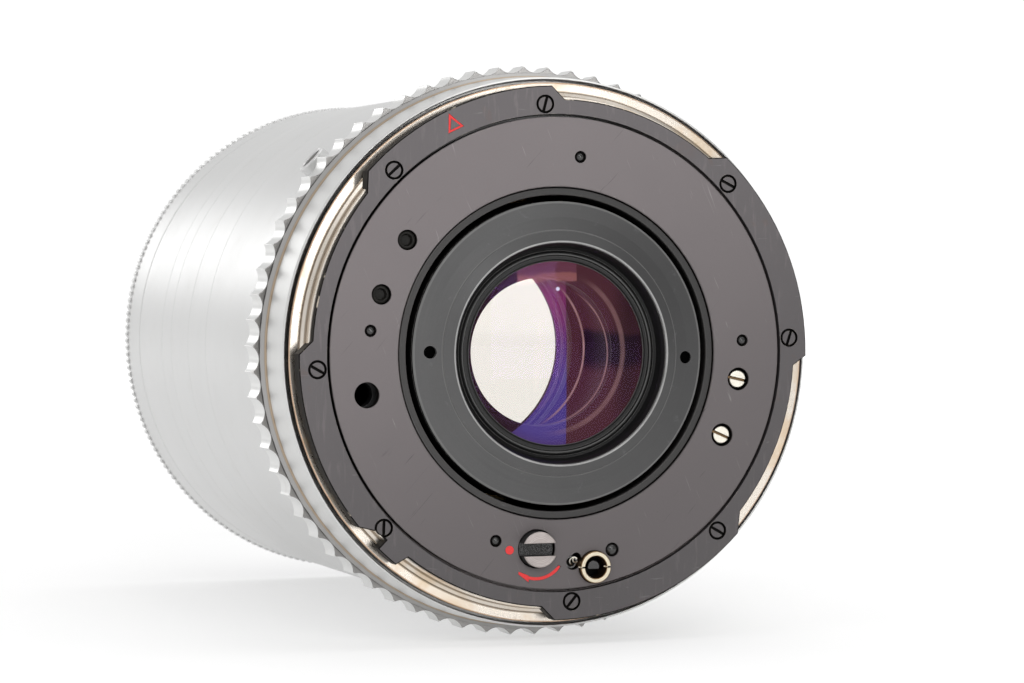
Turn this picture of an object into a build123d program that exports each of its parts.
from build123d import *
import os
from math import atan2, cos, degrees, hypot, pi, radians, sin, sqrt

# Medium-format leaf-shutter prime lens.
# Frame: origin at the centre of the rear face of the mount, +Y along the
# optical axis towards the front, +Z up as the lens lies on its side, and +X
# to the right when it is looked at from the rear. Angles are measured
# counter-clockwise from +X as seen from the rear. Millimetres and degrees.
# A "place" is an (angle, radius) pair about the optical axis.

os.makedirs("parts", exist_ok=True)

# ---------------------------------------------------------------- dimensions
# Bayonet and mount
BAYONET_IN_R = 31.95
LOBE_R = 35.73
GAP_R = 33.95
LOBE_ROOT_R = GAP_R - 0.6
LOBE_T = 2.5
BAYONET_WEB_T = 1.0
HUB_R = 34.25
FLANGE_R = 36.3
SCREW_PCD_R = 33.28
PLATE_R = 31.55
PLATE_OPENING_R = 22.26
PLATE_T = 1.5
MARK_R = 4.0  # curved arrow about the cocking shaft

# Focusing
FOCUS_TIP_R = 39.0
FOCUS_ROOT_R = 38.05
FOCUS_TEETH = 70
FOCUS_TIP_ANGLE = 70.35
FOCUS_Y0, FOCUS_Y1 = 12.5, 18.5
FOCUS_TRAVEL = 18.0
FOCUS_TURN = 300.0
GUIDE_IN_R, GUIDE_OUT_R = 31.4, 33.5
HELICOID_IN_R, HELICOID_OUT_R = 33.6, 35.5
KEY_R = 1.2
KEY_Y = 20.0

# Barrel
BARREL_R = 36.7
EDGE_BREAK = 0.04
BROKEN_R = BARREL_R - EDGE_BREAK  # barrel radius at a broken edge
MAIN_IN_R, MAIN_OUT_R = 28.9, 31.3
RING_BORE_R = 34.48
HOUSING_R = 34.4
HOUSING_IN_R = 33.6
FILTER_R = 37.25
FRONT_Y = 105.5
SOCKET_ANGLE, SOCKET_Y, SOCKET_BASE_R = 137.0, 21.2, 35.85
LEVER_ANGLE, LEVER_Y = -35.0, 32.0

# Cocking gears
GEAR_MODULE = 0.35
PINION_TEETH = 12
COCK_RING_TEETH = 138

# Places of the rear mechanism; the shaft sits where its pinion meets the ring
SHAFT_AT = (263.0, GEAR_MODULE * (PINION_TEETH + COCK_RING_TEETH) / 2)
BUSH_AT = (279.76, 29.14)
POST_AT = (273.98, 28.11)
INTERLOCK_AT = (285.81, 27.52)
LOCATING_AT = (191.0, 27.05)
COVER_SCREWS_AT = [(144.0, 25.84), (161.8, 25.78)]
BRIGHT_SCREWS_AT = [(334.1, 26.0), (351.6, 26.06)]
PINS_AT = [(3.1, 26.41), (83.0, 26.41), (172.8, 26.22), (250.3, 26.38)]
BAYONET_SCREWS_AT = [
    (a, SCREW_PCD_R)
    for a in (2.96, 42.96, 92.96, 132.96, 182.96, 222.96, 272.96, 312.96)
]

# Shutter and diaphragm
STOP_R = 16.5
BLADES = 5
BLADE_IN_R, BLADE_OUT_R = 16.8, 30.2
PIVOT_R = 31.2
PIVOTS_AT = [(360 / BLADES * k, PIVOT_R) for k in range(BLADES)]
POST_R = 0.5
POST_SINK = 1.0  # start of a pivot post behind its first blade layer
DRIVE_PIN_R = 0.4
DRIVE_ARM = 3.0
DRIVE_REACH = 2.2  # end of a drive pin in front of its first blade layer
BLADE_T = 0.15
BLADE_STEP = 0.25
SHUTTER_SWING = 36.0
SHUTTER_RING_TURN = 16.0
APERTURE_SWING = 27.3
CAM_RING_IN_R, CAM_RING_OUT_R = 29.6, 33.5
DECK_R = 33.55  # plates inside the housing
SPRING_POST_AT = (120, 31.0)

# Links from the cam rings to the setting rings
APERTURE_LINK_ANGLE, APERTURE_LINK_Y, APERTURE_RING_TURN = 0, 56.5, 48.0
SPEED_LINK_ANGLE, SPEED_LINK_Y, SPEED_RING_TURN = 180, 63.2, 100
LINK_SLOT_MARGIN = 4

# Seats of the glasses
GLASS_CLEARANCE = 0.05
REAR_SEAT_R = 13.55
INNER_SEAT_R = 17.05
PAIR_SEAT_R = 24.40
FRONT_SEAT_R = 26.53


# ------------------------------------------------------------------- helpers
def station(y):
    """Plane square to the optical axis: local x is +X, local y is +Z."""
    return Plane.XZ.offset(-y)


def meridian(angle):
    """Plane through the optical axis: local x is radial, local y is axial."""
    a = radians(angle)
    return Plane(
        origin=(0, 0, 0), x_dir=(cos(a), 0, sin(a)), z_dir=(-sin(a), 0, cos(a))
    )


def spoke(angle, radius, y):
    """Plane tangent to the barrel, local x along +Y, its normal outwards."""
    a = radians(angle)
    return Plane(
        origin=(radius * cos(a), y, radius * sin(a)),
        x_dir=(0, 1, 0),
        z_dir=(cos(a), 0, sin(a)),
    )


def at(place):
    """Local x, y of a place on a station plane."""
    angle, radius = place
    return (radius * cos(radians(angle)), radius * sin(radians(angle)))


def turned(*points, mode=Mode.ADD):
    """A closed radius/axial outline turned about the optical axis."""
    with BuildSketch(Plane.XY) as outline:
        with BuildLine():
            Polyline(*points, close=True)
        make_face()
    return revolve(outline.sketch, axis=Axis.Y, mode=mode)


def tube(r0, r1, y0, y1, mode=Mode.ADD):
    """A plain turned ring."""
    return turned((r0, y0), (r1, y0), (r1, y1), (r0, y1), mode=mode)


def discs(places, radius):
    """Equal circles in the open sketch, one on each place."""
    with Locations(*[at(place) for place in places]):
        Circle(radius)


def rod(places, radius, y0, y1, mode=Mode.ADD):
    """Equal cylinders along the optical axis, one on each place."""
    with BuildSketch(station(y0)) as section:
        discs(places, radius)
    extrude(section.sketch, amount=-(y1 - y0), mode=mode)


def bore(places, radius, y0, y1):
    """Equal holes along the optical axis."""
    rod(places, radius, y0, y1, mode=Mode.SUBTRACT)


def block(place, length, width, y0, y1, angle=0, mode=Mode.ADD):
    """A rectangular bar along the optical axis, its length turned to angle."""
    with BuildSketch(station(y0)) as section:
        with Locations(Location((*at(place), 0), (0, 0, angle))):
            Rectangle(length, width)
    extrude(section.sketch, amount=-(y1 - y0), mode=mode)


def radial_rod(angle, y, radius, r0, r1, mode=Mode.ADD):
    """A cylinder that stands square to the optical axis."""
    with BuildSketch(spoke(angle, r0, y)) as section:
        Circle(radius)
    extrude(section.sketch, amount=r1 - r0, mode=mode)


def rear_circles(builder):
    """The rearmost circular edges of a piece."""
    return builder.edges().filter_by(GeomType.CIRCLE).group_by(Axis.Y)[0]


def outermost_edges(builder, angle):
    """Edges of the face that lies farthest out in the direction of angle."""
    outwards = Axis((0, 0, 0), (cos(radians(angle)), 0, sin(radians(angle))))
    return builder.faces().sort_by(outwards)[-1].edges()


def finish(builder, name):
    """Label one piece and write it out."""
    builder.part.label = name
    export_step(builder.part, f"parts/{name}.step")


def make_turned(name, *points):
    """A piece that is nothing but a turned outline."""
    with BuildPart() as piece:
        turned(*points)
    finish(piece, name)


def make_spring(name, place, y, pitch, height, coil_r, wire_r):
    """A coil spring wound about +Z, then laid along the optical axis."""
    with BuildPart() as spring:
        with BuildLine() as coil:
            Helix(pitch=pitch, height=height, radius=coil_r, center=(0, 0, 0), direction=(0, 0, 1))
        with BuildSketch(Plane(origin=coil.line @ 0, z_dir=coil.line % 0)) as wire:
            Circle(wire_r)
        sweep(wire.sketch, path=coil.line, is_frenet=True)
    spring_x, spring_z = at(place)
    spring.part = spring.part.rotate(Axis.X, -90).moved(Location((spring_x, y, spring_z)))
    finish(spring, name)


# ------------------------------------------------------------ bayonet ring
# Four lobes; the gaps between them have slanted ends. The third lobe has a
# vee notch and a separate end tooth. Inboard of the hub the ring is thin.
# Angles: start at gap bottom, start at rim, end at rim, end at gap bottom
LOBES = [
    (-3.5, -1.2, 47.3, 50.4),
    (88.3, 91.2, 137.3, 141.0),
    (176.5, 179.5, 230.5, 231.7),
    (265.7, 268.8, 316.0, 320.1),
]
# Places of the corners
LOBE_NOTCH = [(218.6, LOBE_R + 0.2), (222.7, 34.13), (225.3, 34.13), (225.3, LOBE_R + 0.2)]
INDEX_OUTER = [(115.44, 35.34), (113.34, 32.9), (117.54, 32.9)]
INDEX_INNER = [(115.44, 34.50), (114.20, 33.22), (116.68, 33.22)]

with BuildPart() as bayonet_ring:
    with BuildSketch(station(0)):
        Circle(GAP_R)
        for base_start, rim_start, rim_end, base_end in LOBES:
            with BuildLine():
                rise = Line(at((base_start, LOBE_ROOT_R)), at((base_start, GAP_R)))
                lead_in = Line(rise @ 1, at((rim_start, LOBE_R)))
                rim = ThreePointArc(
                    lead_in @ 1, at(((rim_start + rim_end) / 2, LOBE_R)), at((rim_end, LOBE_R))
                )
                lead_out = Line(rim @ 1, at((base_end, GAP_R)))
                fall = Line(lead_out @ 1, at((base_end, LOBE_ROOT_R)))
                ThreePointArc(
                    fall @ 1, at(((base_start + base_end) / 2, LOBE_ROOT_R)), rise @ 0
                )
            make_face()
        with BuildLine():
            Polyline(*[at(p) for p in LOBE_NOTCH], close=True)
        make_face(mode=Mode.SUBTRACT)
        Circle(BAYONET_IN_R, mode=Mode.SUBTRACT)
    extrude(amount=-LOBE_T)
    # rear edges are broken slightly all round
    chamfer(
        bayonet_ring.faces().sort_by(Axis.Y)[0].outer_wire().edges(), length=0.14
    )
    # room for the hub under the thin inboard web
    tube(BAYONET_IN_R - 1, HUB_R + 0.04, BAYONET_WEB_T, LOBE_T + 0.1, mode=Mode.SUBTRACT)
    # counterbored screw holes
    bore(BAYONET_SCREWS_AT, 1.26, -0.1, 0.7)
    bore(BAYONET_SCREWS_AT, 0.68, -0.1, 1.3)
    # engraved index triangle, an outline with its apex outwards
    with BuildSketch(station(-0.01)):
        with BuildLine():
            Polyline(*[at(p) for p in INDEX_OUTER], close=True)
        make_face()
        with BuildLine():
            Polyline(*[at(p) for p in INDEX_INNER], close=True)
        make_face(mode=Mode.SUBTRACT)
    extrude(amount=-0.13, mode=Mode.SUBTRACT)
finish(bayonet_ring, "bayonet_ring")

# Eight flush slotted screws, one node
BAYONET_SCREW_SLOTS = [72, -27, 75, 42, -30, 88, 50, -30]
SLOT_CUT_L = 3.0  # longer than any screw head is wide

with BuildPart() as bayonet_screws:
    rod(BAYONET_SCREWS_AT, 1.03, 0.03, 0.65)
    rod(BAYONET_SCREWS_AT, 0.6, 0.6, 4.8)
    chamfer(
        bayonet_screws.edges().filter_by(GeomType.CIRCLE).filter_by_position(Axis.Y, 0.02, 0.04),
        length=0.1,
    )
    for place, angle in zip(BAYONET_SCREWS_AT, BAYONET_SCREW_SLOTS):
        block(place, SLOT_CUT_L, 0.40, 0.0, 0.5, angle=angle, mode=Mode.SUBTRACT)
finish(bayonet_screws, "bayonet_screws")

# -------------------------------------------------------- rear cover plate
SHAFT_X, SHAFT_Z = at(SHAFT_AT)

# Places and radius of the through holes
COVER_HOLES = [
    (PINS_AT, 0.61),
    (COVER_SCREWS_AT, 1.36),
    (BRIGHT_SCREWS_AT, 1.55),
    ([LOCATING_AT], 1.72),
    ([SHAFT_AT], 2.62),
    ([BUSH_AT], 2.22),
    ([POST_AT], 1.0),
    ([(275.0, 27.55)], 0.72),
    ([INTERLOCK_AT], 0.95),
]


def about_shaft(angle, radius):
    """Local x, y of a point given about the cocking shaft."""
    x, z = at((angle, radius))
    return (SHAFT_X + x, SHAFT_Z + z)


with BuildPart() as rear_cover_plate:
    turned(
        (PLATE_OPENING_R, 0.12), (PLATE_OPENING_R + 0.12, 0),
        (PLATE_R - 0.1, 0), (PLATE_R, 0.1),
        (PLATE_R, PLATE_T), (PLATE_OPENING_R, PLATE_T),
    )
    with BuildSketch(station(-0.1)):
        for places, hole_r in COVER_HOLES:
            discs(places, hole_r)
    extrude(amount=-2.0, mode=Mode.SUBTRACT)
    # wider mouths of the pin holes
    bore(PINS_AT, 0.82, -0.1, 0.7)
    # engraved dot and curved arrow around the lower side of the shaft
    arrow_outer = [about_shaft(a, MARK_R + 0.23) for a in (250, 287, 324)]
    arrow_inner = [about_shaft(a, MARK_R - 0.23) for a in (324, 287, 250)]
    with BuildSketch(station(-0.01)):
        with Locations(about_shaft(181, 3.78)):
            Circle(0.6)
        with BuildLine():
            ThreePointArc(*arrow_outer)
            Line(arrow_outer[-1], arrow_inner[0])
            ThreePointArc(*arrow_inner)
            Line(arrow_inner[-1], arrow_outer[0])
        make_face()
        with BuildLine():
            Polyline(
                about_shaft(229, MARK_R - 0.12),
                about_shaft(232, MARK_R + 0.22),
                about_shaft(256, MARK_R + 0.62),
                about_shaft(252, MARK_R - 0.32),
                close=True,
            )
        make_face()
    extrude(amount=-0.12, mode=Mode.SUBTRACT)
finish(rear_cover_plate, "rear_cover_plate")

# Four small domed pins staked in the cover plate, and the spring post
with BuildPart() as cover_plate_pins:
    rod(PINS_AT, 0.6, -0.05, 1.45)
    fillet(rear_circles(cover_plate_pins), radius=0.52)
    rod([POST_AT], 0.56, 0.8, 5.2)
finish(cover_plate_pins, "cover_plate_pins")

# Plate in front of the cover that carries the shaft, the pins and the screws
with BuildPart() as mechanism_plate:
    tube(22.3, 28.95, 3.5, 5.5)
    with BuildSketch(station(3.4)):
        discs(COVER_SCREWS_AT + BRIGHT_SCREWS_AT, 0.62)
        discs([LOCATING_AT], 1.72)
        discs([SHAFT_AT], 1.65)
        discs([POST_AT], 0.62)
        discs([INTERLOCK_AT], 0.95)
        discs([BUSH_AT], 2.35)
    extrude(amount=-2.4, mode=Mode.SUBTRACT)
finish(mechanism_plate, "mechanism_plate")

# Two dark recessed cover screws with tapered sockets
with BuildPart() as cover_screws:
    rod(COVER_SCREWS_AT, 1.28, 0.45, 1.35)
    rod(COVER_SCREWS_AT, 0.6, 1.3, 5.3)
    fillet(rear_circles(cover_screws), radius=0.3)
    with BuildSketch(station(0.44)):
        discs(COVER_SCREWS_AT, 0.82)
    extrude(amount=-0.62, taper=14, mode=Mode.SUBTRACT)
finish(cover_screws, "cover_screws")

# Two bright slotted screws with tall heads that nearly fill their holes
with BuildPart() as adjusting_screws:
    rod(BRIGHT_SCREWS_AT, 1.22, 0.3, 1.45)
    rod(BRIGHT_SCREWS_AT, 1.1, 1.4, 3.2)
    rod(BRIGHT_SCREWS_AT, 0.6, 3.1, 5.5)
    chamfer(rear_circles(adjusting_screws), length=0.12)
    for place, angle in zip(BRIGHT_SCREWS_AT, (-24, -13)):
        block(place, SLOT_CUT_L, 0.36, 0.25, 0.85, angle=angle, mode=Mode.SUBTRACT)
finish(adjusting_screws, "adjusting_screws")

# --------------------------------------------------------- mount base ring
# Plated brass hub, cone and flange, with the seat of the cover plate inside
with BuildPart() as mount_base_ring:
    turned(
        (29.0, 1.56), (31.85, 1.56), (31.85, 1.04),
        (HUB_R - 0.12, 1.04), (HUB_R, 1.16), (HUB_R, 2.62),
        (34.92, 2.95), (35.0, 3.3),
        (FLANGE_R - 0.15, 3.3), (FLANGE_R, 3.45), (FLANGE_R, 6.0),
        (34.5, 6.0), (34.5, 10.0), (29.0, 10.0),
    )
    bore(BAYONET_SCREWS_AT, 0.62, 1.0, 5.0)
    # spring chamber and guide hole of the release pin
    bore([BUSH_AT], 2.3, 1.0, 9.0)
    bore([BUSH_AT], 0.85, 8.0, 10.5)
finish(mount_base_ring, "mount_base_ring")

# Outer satin sleeve behind the focusing ring
make_turned(
    "rear_sleeve",
    (36.65, 3.9), (36.80, 3.75), (37.02, 4.0), (37.42, 11.2), (38.0, 12.0), (38.0, 12.2),
    (36.3, 12.2), (36.3, 8.0), (34.55, 8.0), (34.55, 6.04), (36.65, 6.04),
)

# Brass washer the focusing ring runs against
with BuildPart() as thrust_washer:
    tube(35.6, 37.44, 12.23, 12.42)
finish(thrust_washer, "thrust_washer")

# ------------------------------------------------- cocking shaft and pins
with BuildPart() as cocking_shaft:
    rod([SHAFT_AT], 2.4, -1.58, 3.4)
    chamfer(rear_circles(cocking_shaft), length=0.08)
    block(SHAFT_AT, 6.0, 1.72, -1.7, 0.4, mode=Mode.SUBTRACT)
    # journal in the mechanism plate, collar, then the square drive
    rod([SHAFT_AT], 1.6, 3.3, 5.8)
    rod([SHAFT_AT], 2.2, 5.8, 6.4)
    block(SHAFT_AT, 1.8, 1.8, 6.3, 38.0)
finish(cocking_shaft, "cocking_shaft")

# Split bush, with a narrow cut across its rear end
with BuildPart() as release_bush:
    with BuildSketch(station(-0.8)):
        with Locations(at(BUSH_AT)):
            Circle(2.14)
            Circle(1.5, mode=Mode.SUBTRACT)
    extrude(amount=-3.35)
    chamfer(rear_circles(release_bush), length=0.1)
    block(BUSH_AT, 5.0, 0.22, -0.9, 0.4, mode=Mode.SUBTRACT)
finish(release_bush, "release_bush")

# Pin with a flatted rear end and a collar
with BuildPart() as release_pin:
    with BuildSketch(station(0.25)):
        with Locations(at(BUSH_AT)):
            Circle(0.8)
            with Locations((0, -0.75)):
                Rectangle(2.0, 0.9, mode=Mode.SUBTRACT)
    extrude(amount=-2.6)
    rod([BUSH_AT], 2.0, 2.75, 3.55)
    rod([BUSH_AT], 0.8, 3.5, 9.5)
finish(release_pin, "release_pin")

# Return spring, drawn at its compressed length
make_spring(
    "release_spring", BUSH_AT, 6.0, pitch=0.62, height=2.5, coil_r=1.55, wire_r=0.18
)

# Round-ended pin with a collar
with BuildPart() as interlock_pin:
    rod([INTERLOCK_AT], 0.88, -0.1, 6.5)
    fillet(rear_circles(interlock_pin), radius=0.78)
    rod([INTERLOCK_AT], 1.2, 1.56, 2.16)
finish(interlock_pin, "interlock_pin")

# Fixed tube that shields the moving rear cell from stray light
make_turned(
    "light_shield",
    (21.15, 0.40), (21.25, 0.3), (22.0, 0.3), (22.1, 0.42), (22.1, 3.45),
    (22.25, 3.45), (22.25, 14.0), (21.4, 14.0), (21.4, 1.3), (21.15, 1.1),
)

# ---------------------------------------------------------- focusing parts
# Helical path of a key; it runs past both ends of the travel by the margin
GROOVE_MARGIN = 6.0  # degrees
GROOVE_SPAN = FOCUS_TURN + 2 * GROOVE_MARGIN

with BuildLine(mode=Mode.PRIVATE) as groove:
    Helix(
        pitch=FOCUS_TRAVEL * 360.0 / FOCUS_TURN,
        height=FOCUS_TRAVEL * GROOVE_SPAN / FOCUS_TURN,
        radius=HELICOID_IN_R,
        center=(0, KEY_Y - FOCUS_TRAVEL * GROOVE_MARGIN / FOCUS_TURN, 0),
        direction=(0, 1, 0),
    )
key_point = groove.line @ (GROOVE_MARGIN / GROOVE_SPAN)
FIRST_KEY_ANGLE = degrees(atan2(key_point.Z, key_point.X))
KEY_ANGLES = [FIRST_KEY_ANGLE + 120 * k for k in range(3)]

# Tube with three straight slots that keep the optical unit from turning
with BuildPart() as guide_tube:
    turned(
        (29.1, 10.04), (GUIDE_OUT_R, 10.04), (GUIDE_OUT_R, 44.0),
        (GUIDE_IN_R, 44.0), (GUIDE_IN_R, 12.0), (29.1, 12.0),
    )
    # way through the rear flange for the end of the release pin
    bore([BUSH_AT], 1.0, 9.9, 12.2)
    for angle in KEY_ANGLES:
        with BuildSketch(spoke(angle, 30.0, KEY_Y + FOCUS_TRAVEL / 2)):
            SlotCenterToCenter(FOCUS_TRAVEL + 1.0, 2 * (KEY_R + 0.06))
        extrude(amount=5.0, mode=Mode.SUBTRACT)
finish(guide_tube, "guide_tube")

# Scalloped ring: concave flutes meeting in pointed tips
flute_half_chord = FOCUS_TIP_R * sin(pi / FOCUS_TEETH)
flute_depth = FOCUS_TIP_R * cos(pi / FOCUS_TEETH) - FOCUS_ROOT_R
FLUTE_R = (flute_half_chord**2 + flute_depth**2) / (2 * flute_depth)

with BuildPart() as focus_ring:
    with BuildSketch(station(FOCUS_Y0)):
        Circle(FOCUS_TIP_R - 0.02)
        with PolarLocations(
            FOCUS_ROOT_R + FLUTE_R,
            FOCUS_TEETH,
            start_angle=FOCUS_TIP_ANGLE + 180.0 / FOCUS_TEETH,
        ):
            Circle(FLUTE_R, mode=Mode.SUBTRACT)
        Circle(HELICOID_OUT_R + 0.05, mode=Mode.SUBTRACT)
    extrude(amount=-(FOCUS_Y1 - FOCUS_Y0))
    # tips run out in a chamfer at the front and are broken at the rear
    turned(
        (FOCUS_TIP_R + 1, FOCUS_Y1 + 0.1),
        (FOCUS_ROOT_R - 0.5, FOCUS_Y1 + 0.1),
        (FOCUS_ROOT_R - 0.15, FOCUS_Y1 - 0.35),
        (FOCUS_TIP_R + 0.1, FOCUS_Y1 - 1.5),
        (FOCUS_TIP_R + 1, FOCUS_Y1 - 1.5),
        mode=Mode.SUBTRACT,
    )
    turned(
        (FOCUS_TIP_R + 1, FOCUS_Y0 - 0.1),
        (FOCUS_TIP_R - 0.3, FOCUS_Y0 - 0.1),
        (FOCUS_TIP_R + 0.1, FOCUS_Y0 + 0.35),
        (FOCUS_TIP_R + 1, FOCUS_Y0 + 0.35),
        mode=Mode.SUBTRACT,
    )
finish(focus_ring, "focus_ring")

# Brass sleeve inside the ring, with three helical grooves for the keys
with BuildPart() as focus_helicoid:
    tube(HELICOID_IN_R, HELICOID_OUT_R, 12.6, 40.0)
    with BuildSketch(Plane(origin=groove.line @ 0, z_dir=groove.line % 0)) as groove_section:
        Circle(KEY_R + 0.1)
    cutter = sweep(
        groove_section.sketch, path=groove.line, is_frenet=True, mode=Mode.PRIVATE
    )
    for k in range(3):
        add(cutter.rotate(Axis.Y, 120 * k), mode=Mode.SUBTRACT)
finish(focus_helicoid, "focus_helicoid")

# ---------------------------------------------------- moving optical unit
with BuildPart() as main_tube:
    turned(
        (MAIN_IN_R, 14.0), (MAIN_OUT_R, 14.0), (MAIN_OUT_R, 47.5),
        (34.35, 47.5), (34.35, 48.95), (MAIN_IN_R, 48.95),
    )
    for angle in KEY_ANGLES:
        radial_rod(angle, KEY_Y, KEY_R + 0.02, 28.0, 33.0, mode=Mode.SUBTRACT)
finish(main_tube, "main_tube")

# Three ball-ended keys
with BuildPart() as focus_keys:
    for angle in KEY_ANGLES:
        radial_rod(angle, KEY_Y, KEY_R, 29.0, HELICOID_IN_R)
        ball_x, ball_z = at((angle, HELICOID_IN_R))
        with Locations((ball_x, KEY_Y, ball_z)):
            Sphere(KEY_R)
finish(focus_keys, "focus_keys")

# Satin outer shell behind the setting rings
with BuildPart() as barrel_shell:
    turned(
        (35.72, 18.72), (BARREL_R - 0.2, 18.72), (BARREL_R, 18.95),
        (BARREL_R, 50.20), (BROKEN_R, 50.24),
        (34.5, 50.24), (34.5, 45.6), (35.72, 44.4),
    )
    radial_rod(SOCKET_ANGLE, SOCKET_Y, 2.24, 33.0, 39.0, mode=Mode.SUBTRACT)
    radial_rod(LEVER_ANGLE, LEVER_Y, 0.85, 33.0, 39.0, mode=Mode.SUBTRACT)
finish(barrel_shell, "barrel_shell")

# Flash socket: shell, and an insulating core with its centre contact
with BuildPart() as sync_socket_shell:
    with BuildSketch(spoke(SOCKET_ANGLE, SOCKET_BASE_R, SOCKET_Y)):
        Circle(2.2)
        Circle(1.6, mode=Mode.SUBTRACT)
    extrude(amount=3.08)
    chamfer(outermost_edges(sync_socket_shell, SOCKET_ANGLE), length=0.15)
finish(sync_socket_shell, "sync_socket_shell")

with BuildPart() as sync_socket_core:
    radial_rod(SOCKET_ANGLE, SOCKET_Y, 1.57, SOCKET_BASE_R, SOCKET_BASE_R + 1.2)
    radial_rod(SOCKET_ANGLE, SOCKET_Y, 0.44, 36.9, 38.4)
    fillet(outermost_edges(sync_socket_core, SOCKET_ANGLE), radius=0.2)
finish(sync_socket_core, "sync_socket_core")

# Small selector lever on a radial pivot, with a button at its front end
with BuildPart() as sync_lever:
    radial_rod(LEVER_ANGLE, LEVER_Y, 0.8, 35.8, 37.0)
    with BuildSketch(spoke(LEVER_ANGLE, 36.78, LEVER_Y)):
        with BuildLine():
            Line((0, -1.9), (6.0, -1.1))
            ThreePointArc((6.0, -1.1), (7.1, 0), (6.0, 1.1))
            Line((6.0, 1.1), (0, 1.9))
            ThreePointArc((0, 1.9), (-1.9, 0), (0, -1.9))
        make_face()
    extrude(amount=0.8)
    radial_rod(LEVER_ANGLE, LEVER_Y + 5.6, 1.0, 37.5, 38.7)
    fillet(outermost_edges(sync_lever, LEVER_ANGLE), radius=0.3)
finish(sync_lever, "sync_lever")

# ------------------------------------------------------- cocking gearing
ADDENDUM, DEDENDUM = 0.75, 1.1  # in modules


def gear_points(teeth, tooth_angle):
    """Outline of a straight-flanked external gear, one tooth on tooth_angle."""
    pitch_r = GEAR_MODULE * teeth / 2
    tip_r = pitch_r + ADDENDUM * GEAR_MODULE
    root_r = pitch_r - DEDENDUM * GEAR_MODULE
    step = 360.0 / teeth
    # radius, and angle from the tooth centre as a share of the tooth step
    corners = ((root_r, -0.33), (tip_r, -0.13), (tip_r, 0.13), (root_r, 0.33))
    return [
        at((tooth_angle + (i + share) * step, r))
        for i in range(teeth)
        for r, share in corners
    ]


# Sleeve with a square bore for the shaft, and the pinion at its front
with BuildPart() as drive_sleeve:
    with BuildSketch(station(10.0)):
        with Locations((SHAFT_X, SHAFT_Z)):
            Circle(1.98)
            Rectangle(1.92, 1.92, mode=Mode.SUBTRACT)
    extrude(amount=-29.2)
    rod([SHAFT_AT], 1.5, 39.2, 48.4)
    with BuildSketch(station(46.4)):
        with BuildLine():
            Polyline(
                *[
                    (SHAFT_X + x, SHAFT_Z + z)
                    for x, z in gear_points(PINION_TEETH, SHAFT_AT[0] + 180)
                ],
                close=True,
            )
        make_face()
    extrude(amount=-2.0)
    rod([SHAFT_AT], 0.8, 48.3, 49.7)
finish(drive_sleeve, "drive_sleeve")

# Toothed ring, turned half a tooth so that it meshes with the pinion
with BuildPart() as cocking_ring:
    with BuildSketch(station(46.5)):
        with BuildLine():
            Polyline(
                *gear_points(COCK_RING_TEETH, SHAFT_AT[0] + 180.0 / COCK_RING_TEETH),
                close=True,
            )
        make_face()
        Circle(20.42, mode=Mode.SUBTRACT)
    extrude(amount=-1.8)
finish(cocking_ring, "cocking_ring")

# --------------------------------------------------------- rear optics
# Tube of the rear group, with the seat of the rear glasses turned in it
make_turned(
    "rear_lens_tube",
    (REAR_SEAT_R, 1.75), (15.6, 1.75), (15.6, 0.7), (20.3, 0.7), (20.3, 48.9), (18.9, 48.9),
    (18.9, 26.4), (INNER_SEAT_R, 26.4), (INNER_SEAT_R, 16.2), (16.2, 16.2), (16.2, 11.6),
    (10.15, 10.6), (10.15, 9.05), (REAR_SEAT_R, 6.6),
)

# Dished ring that holds the rear group, with two spanner holes
with BuildPart() as rear_retaining_ring:
    turned(
        (20.3, 0.62), (20.3, 0.12), (20.1, 0.0), (18.2, -0.28), (16.45, -0.72),
        (16.35, -0.92), (15.1, -1.55), (14.95, -1.6), (14.80, -1.5), (14.80, 0.62),
    )
    bore([(178.8, 17.98), (357.6, 17.98)], 0.86, -1.0, 0.5)
finish(rear_retaining_ring, "rear_retaining_ring")

# Ribbed funnel between the ring and the rear glass
make_turned(
    "rear_baffle",
    (14.76, -1.25), (14.4, -0.6), (14.05, 0.55), (13.75, 0.85), (13.4, 0.62), (13.2, 0.62),
    (13.0, 0.95), (12.6, 0.95), (12.3, 0.78), (12.3, 1.08), (13.53, 1.10), (13.53, 1.68),
    (14.76, 1.68),
)

# ------------------------------------------------------------- the glasses
# The cemented pair is a hollow-faced rear glass and a domed front glass.
CEMENT_GAP = 0.02
PAIR_JOINT_AXIS, PAIR_JOINT_EDGE = 71.589, 68.489

# Name, seat radius, rear face at axis and edge, front face at axis and edge
GLASSES = [
    ("rear_element", REAR_SEAT_R, 0.75, 1.218, 5.095, 6.368),
    ("rear_inner_element", INNER_SEAT_R, 16.253, 16.311, 26.143, 25.1),
    ("second_element", PAIR_SEAT_R, 66.389, 64, PAIR_JOINT_AXIS, PAIR_JOINT_EDGE),
    ("third_element", PAIR_SEAT_R, PAIR_JOINT_AXIS + CEMENT_GAP, PAIR_JOINT_EDGE + CEMENT_GAP,
     80.975, 70.405),
    ("front_element", FRONT_SEAT_R, 86.5, 83.884, 95.5, 92.386),
]


def arc_through(r, y_axis, y_edge):
    """A point between axis and radius r on a face's spherical meridian."""
    sag = y_edge - y_axis
    sphere_r = (r * r + sag * sag) / (2 * sag)
    height = r * 0.6
    drop = abs(sphere_r) - sqrt(sphere_r * sphere_r - height * height)
    return (height, y_axis + (drop if sag > 0 else -drop))


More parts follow.
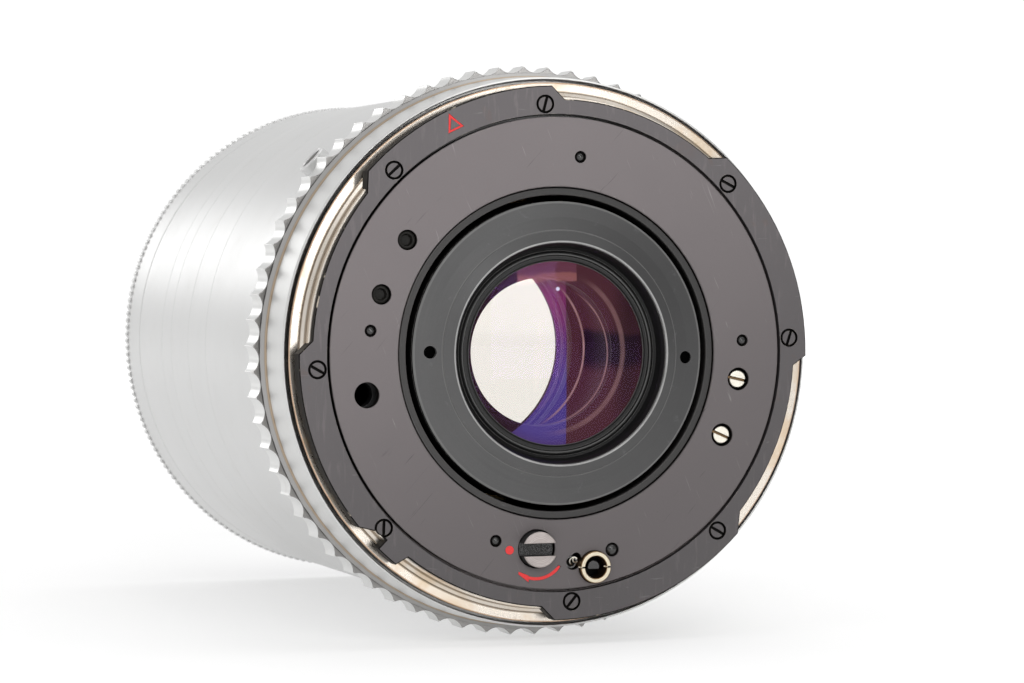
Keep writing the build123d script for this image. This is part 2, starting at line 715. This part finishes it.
def make_glass(name, r, rear_axis, rear_edge, front_axis, front_edge):
    """A spherical element given by where its two faces meet axis and edge."""
    with BuildPart() as element:
        with BuildSketch(Plane.XY) as outline:
            with BuildLine():
                rear = ThreePointArc(
                    (0, rear_axis), arc_through(r, rear_axis, rear_edge), (r, rear_edge)
                )
                edge = Line(rear @ 1, (r, front_edge))
                front = ThreePointArc(
                    edge @ 1, arc_through(r, front_axis, front_edge), (0, front_axis)
                )
                Line(front @ 1, rear @ 0)
            make_face()
        revolve(outline.sketch, axis=Axis.Y)
    finish(element, name)


for name, seat_r, *faces in GLASSES:
    make_glass(name, seat_r - GLASS_CLEARANCE, *faces)

# ------------------------------------------------- shutter and diaphragm
# Housing; its floor is the base plate of the shutter blades
with BuildPart() as shutter_housing:
    turned(
        (STOP_R, 49.0), (HOUSING_R, 49.0), (HOUSING_R, 74.0),
        (HOUSING_IN_R, 74.0), (HOUSING_IN_R, 51.0), (STOP_R, 51.0),
    )
    # bearing holes of the shutter blades
    bore(PIVOTS_AT, POST_R + 0.05, 49.9, 51.2)
    # arc slots for the links of the two setting rings; a positive turn about
    # +Y runs clockwise as seen from the rear, so each starts at its far end
    for link_angle, link_y, turn in (
        (APERTURE_LINK_ANGLE, APERTURE_LINK_Y, APERTURE_RING_TURN),
        (SPEED_LINK_ANGLE, SPEED_LINK_Y, SPEED_RING_TURN),
    ):
        with BuildSketch(meridian(link_angle + turn + LINK_SLOT_MARGIN)):
            with Locations((34.0, link_y)):
                Rectangle(3.0, 1.4)
        revolve(
            axis=Axis.Y, revolution_arc=turn + 2 * LINK_SLOT_MARGIN, mode=Mode.SUBTRACT
        )
    # bearing of the drive sleeve
    bore([SHAFT_AT], 0.85, 48.9, 50.1)
finish(shutter_housing, "shutter_housing")

with BuildPart() as diaphragm_plate:
    tube(STOP_R, DECK_R, 53.6, 54.6)
    bore(PIVOTS_AT, POST_R + 0.05, 53.5, 54.8)
finish(diaphragm_plate, "diaphragm_plate")

# Lobe that carries a blade's post and drive pin: local x, y on its station
BLADE_LOBE = [
    (29.4, 1.9), (30.4, 3.0), (32.0, 1.0), (31.8, -2.6), (31.7, -3.0),
    (31.42, -3.42), (31.1, -3.56), (30.72, -3.4), (30.5, -2.9), (29.6, -0.6),
]


def blade_outline(tip_angle):
    """Crescent arm outside the open stop, with a rounded tip."""
    arc_steps, tip_steps = 24, 6
    mid_r = (BLADE_IN_R + BLADE_OUT_R) / 2
    half_width = (BLADE_OUT_R - BLADE_IN_R) / 2
    arm = []
    for i in range(arc_steps + 1):
        arm.append(at((2 + (tip_angle - 2) * i / arc_steps, BLADE_IN_R)))
    for i in range(1, tip_steps):
        bend = pi * i / tip_steps
        arm.append(at((tip_angle + 9 * sin(bend), mid_r - half_width * cos(bend))))
    for i in range(arc_steps + 1):
        arm.append(at((tip_angle - (tip_angle - 4) * i / arc_steps, BLADE_OUT_R)))
    return arm


def make_blade(name, index, first_y, tip_angle):
    """One blade in its own layer, with its pivot post and drive pin."""
    y = first_y + BLADE_STEP * index
    post_y0 = first_y - POST_SINK
    with BuildPart() as blade:
        with BuildSketch(station(y)):
            with BuildLine():
                Polyline(*blade_outline(tip_angle), close=True)
            make_face()
            with BuildLine():
                Polyline(*BLADE_LOBE, close=True)
            make_face()
        extrude(amount=-BLADE_T)
        with BuildSketch(station(post_y0)):
            with Locations((PIVOT_R, 0)):
                Circle(POST_R)
        extrude(amount=-(y + BLADE_T - post_y0))
        with BuildSketch(station(y)):
            with Locations((PIVOT_R, -DRIVE_ARM)):
                Circle(DRIVE_PIN_R)
        extrude(amount=-(first_y + DRIVE_REACH - y))
    blade.part = blade.part.rotate(Axis.Y, -360 / BLADES * index)
    finish(blade, name)


for i in range(BLADES):
    make_blade(f"shutter_blade_{i + 1}", i, first_y=51.1, tip_angle=106)
    make_blade(f"aperture_blade_{i + 1}", i, first_y=54.7, tip_angle=92)


def slot_outline(swing, turn, half_width):
    """Path of a blade's drive pin as seen from the turning ring."""
    steps = 14
    path = []
    # one point past each end gives the direction of the path there
    for i in range(-1, steps + 2):
        share = i / steps
        a = radians(-90 + swing * share)
        x, z = PIVOT_R + DRIVE_ARM * cos(a), DRIVE_ARM * sin(a)
        path.append(at((degrees(atan2(z, x)) - turn * share, hypot(x, z))))
    left, right = [], []
    for before, (x, z), after in zip(path, path[1:], path[2:]):
        dx, dz = after[0] - before[0], after[1] - before[1]
        chord = hypot(dx, dz)
        side_x, side_z = -dz / chord * half_width, dx / chord * half_width
        left.append((x + side_x, z + side_z))
        right.append((x - side_x, z - side_z))
    return left, right, path[1], path[-2]


def ring_with_slots(y0, y1, swing, turn):
    """Flat ring whose curved slots swing the blades."""
    tube(CAM_RING_IN_R, CAM_RING_OUT_R, y0, y1)
    slot_r = DRIVE_PIN_R + 0.08
    left, right, first, last = slot_outline(swing, turn, slot_r)
    with BuildSketch(station(y0 - 0.1)) as slots:
        with PolarLocations(0, BLADES):
            with BuildSketch(mode=Mode.PRIVATE) as one:
                with BuildLine():
                    Polyline(*left, *right[::-1], close=True)
                make_face()
                with Locations(first, last):
                    Circle(slot_r)
            add(one.sketch)
    extrude(slots.sketch, amount=-(y1 - y0 + 0.2), mode=Mode.SUBTRACT)


def link_pin(angle, y):
    """Pin from a cam ring out to its setting ring."""
    radial_rod(angle, y, 0.45, 33.0, 34.9)


with BuildPart() as shutter_drive_ring:
    ring_with_slots(52.4, 53.4, SHUTTER_SWING, SHUTTER_RING_TURN)
finish(shutter_drive_ring, "shutter_drive_ring")

with BuildPart() as aperture_cam_ring:
    ring_with_slots(56.0, 57.0, APERTURE_SWING, APERTURE_RING_TURN)
    link_pin(APERTURE_LINK_ANGLE, APERTURE_LINK_Y)
finish(aperture_cam_ring, "aperture_cam_ring")

# Cover over the diaphragm, with the post of the main spring
with BuildPart() as shutter_cover:
    tube(STOP_R, DECK_R, 57.2, 58.0)
    rod([SPRING_POST_AT], 0.6, 57.9, 61.9)
finish(shutter_cover, "shutter_cover")

# Cam ring of the speed setting, with ever deeper steps on its inner edge
with BuildPart() as speed_cam_ring:
    tube(CAM_RING_IN_R, CAM_RING_OUT_R, 62.6, 63.8)
    for k in range(10):
        angle = 90 + 10 * k
        block((angle, 29.2), 1.2 + 0.22 * k, 3.4, 62.5, 64.0, angle=angle, mode=Mode.SUBTRACT)
    link_pin(SPEED_LINK_ANGLE, SPEED_LINK_Y)
finish(speed_cam_ring, "speed_cam_ring")

# Main spring wound round its post
make_spring(
    "mainspring", SPRING_POST_AT, 58.4, pitch=0.66, height=3.2, coil_r=1.25, wire_r=0.22
)

# ----------------------------------------------------- the setting rings
GRIP_R = 38.7
GRIP_L = 7.8
GRIP_FLUTE_PITCH = 2.9  # degrees, at least


def grip_lug(angle, span, y0):
    """Raised finger grip, centred on angle, with shallow flutes across it."""
    y1 = y0 + GRIP_L
    with BuildSketch(meridian(angle + span / 2)) as section:
        with BuildLine():
            Polyline(
                (BARREL_R - 0.6, y0), (BARREL_R - 0.05, y0), (GRIP_R - 0.35, y0 + 0.55),
                (GRIP_R, y0 + 1.0), (GRIP_R, y1 - 1.0), (GRIP_R - 0.35, y1 - 0.55),
                (BARREL_R - 0.05, y1), (BARREL_R - 0.6, y1), close=True,
            )
        make_face()
    revolve(section.sketch, axis=Axis.Y, revolution_arc=span)
    count = int(span / GRIP_FLUTE_PITCH)
    for k in range(count):
        flute_angle = angle - span / 2 + (k + 0.5) * span / count
        bore([(flute_angle, GRIP_R + 0.62)], 0.95, y0 + 0.8, y1 - 0.8)


def make_setting_ring(
    name, y0, y1, rear_bevel, grip_angle, grip_span, grip_y, link_angle, link_y
):
    """Setting ring with its grip and the hole for its link pin."""
    with BuildPart() as ring:
        turned(
            (RING_BORE_R, y0), (BROKEN_R, y0), (BARREL_R, y0 + rear_bevel),
            (BARREL_R, y1 - EDGE_BREAK), (BROKEN_R, y1), (RING_BORE_R, y1),
        )
        grip_lug(grip_angle, grip_span, grip_y)
        radial_rod(link_angle, link_y, 0.5, 33.5, 35.3, mode=Mode.SUBTRACT)
    finish(ring, name)


make_setting_ring(
    "aperture_ring", 50.30, 61.78, rear_bevel=0.06,
    grip_angle=24, grip_span=30, grip_y=52.2,
    link_angle=APERTURE_LINK_ANGLE, link_y=APERTURE_LINK_Y,
)
make_setting_ring(
    "speed_ring", 61.84, 73.48, rear_bevel=0.08,
    grip_angle=-34, grip_span=26, grip_y=63.8,
    link_angle=SPEED_LINK_ANGLE, link_y=SPEED_LINK_Y,
)

# ------------------------------------------------------------ front parts
make_turned(
    "front_shell",
    (29.6, 74.05), (34.46, 74.05), (34.46, 73.54), (BROKEN_R, 73.54), (BARREL_R, 73.62),
    (BARREL_R, 79.91), (BROKEN_R, 79.95), (35.2, 79.95), (35.2, 75.6), (29.6, 75.6),
)

make_turned(
    "front_tube",
    (35.0, 76.5), (35.15, 76.5), (35.15, 80.01), (BROKEN_R, 80.01), (BARREL_R, 80.09),
    (BARREL_R + 0.12, 95.82), (BARREL_R + 0.02, 95.92), (33.0, 95.92), (33.0, 94.4),
    (35.0, 92.4),
)

# Front ring: filter thread inside, fine knurl on its rim
KNURL_TEETH = 216
KNURL_DEPTH = 0.32
KNURL_Y0 = 103.95
knurl_step = 360.0 / KNURL_TEETH
knurl = []
for i in range(KNURL_TEETH):
    knurl.append(at((i * knurl_step, FILTER_R)))
    knurl.append(at(((i + 0.32) * knurl_step, FILTER_R)))
    knurl.append(at(((i + 0.66) * knurl_step, FILTER_R - KNURL_DEPTH)))

with BuildPart() as filter_ring:
    turned(
        (33.0, 95.98), (BARREL_R - 0.02, 95.98), (BARREL_R + 0.16, 96.2),
        (BARREL_R + 0.30, 103.6), (BARREL_R + 0.05, 103.75), (BARREL_R + 0.05, 104.0),
        (34.6, 104.0), (34.6, 100.65), (34.05, 100.65), (34.05, 98.6), (33.0, 98.6),
    )
    with BuildSketch(station(KNURL_Y0)):
        with BuildLine():
            Polyline(*knurl, close=True)
        make_face()
        Circle(34.9, mode=Mode.SUBTRACT)
    extrude(amount=-(FRONT_Y - KNURL_Y0))
    # thread grooves in the bore
    for k in range(4):
        y = 100.9 + 0.75 * k
        turned(
            (34.5, y), (34.95, y + 0.34), (34.95, y + 0.40), (34.5, y + 0.74),
            mode=Mode.SUBTRACT,
        )
finish(filter_ring, "filter_ring")

# Cell of the cemented pair and the front glass
make_turned(
    "front_cell",
    (23.45, 62.2), (28.4, 62.2), (28.4, 73.9), (29.5, 73.9), (29.5, 76.6), (28.4, 76.6),
    (28.4, 94.3), (28.9, 96.9), (FRONT_SEAT_R, 96.9), (FRONT_SEAT_R, 83.6),
    (PAIR_SEAT_R, 83.6), (PAIR_SEAT_R, 63.6), (23.45, 63.6),
)

# Ring in front of the front glass, with two notches in its front face
with BuildPart() as front_retaining_ring:
    turned((25.3, 92.95), (26.45, 92.65), (26.45, 95.8), (25.6, 95.8), (25.3, 95.5))
    for angle in (0, 180):
        block((angle, 25.9), 2.2, 1.3, 94.9, 95.9, angle=angle, mode=Mode.SUBTRACT)
finish(front_retaining_ring, "front_retaining_ring")

# Black conical trim around the front glass, with fine anti-glare steps
TRIM_IN_R = 27.1
trim = [(TRIM_IN_R, 97.0)]
for k in range(9):
    step_r = TRIM_IN_R + k * 0.75
    step_y = 97.9 + k * 0.30
    trim += [(step_r, step_y), (step_r + 0.6, step_y)]
trim += [(34.0, 100.6), (34.0, 98.65), (32.9, 98.65), (32.9, 97.0)]
make_turned("front_trim_ring", *trim)
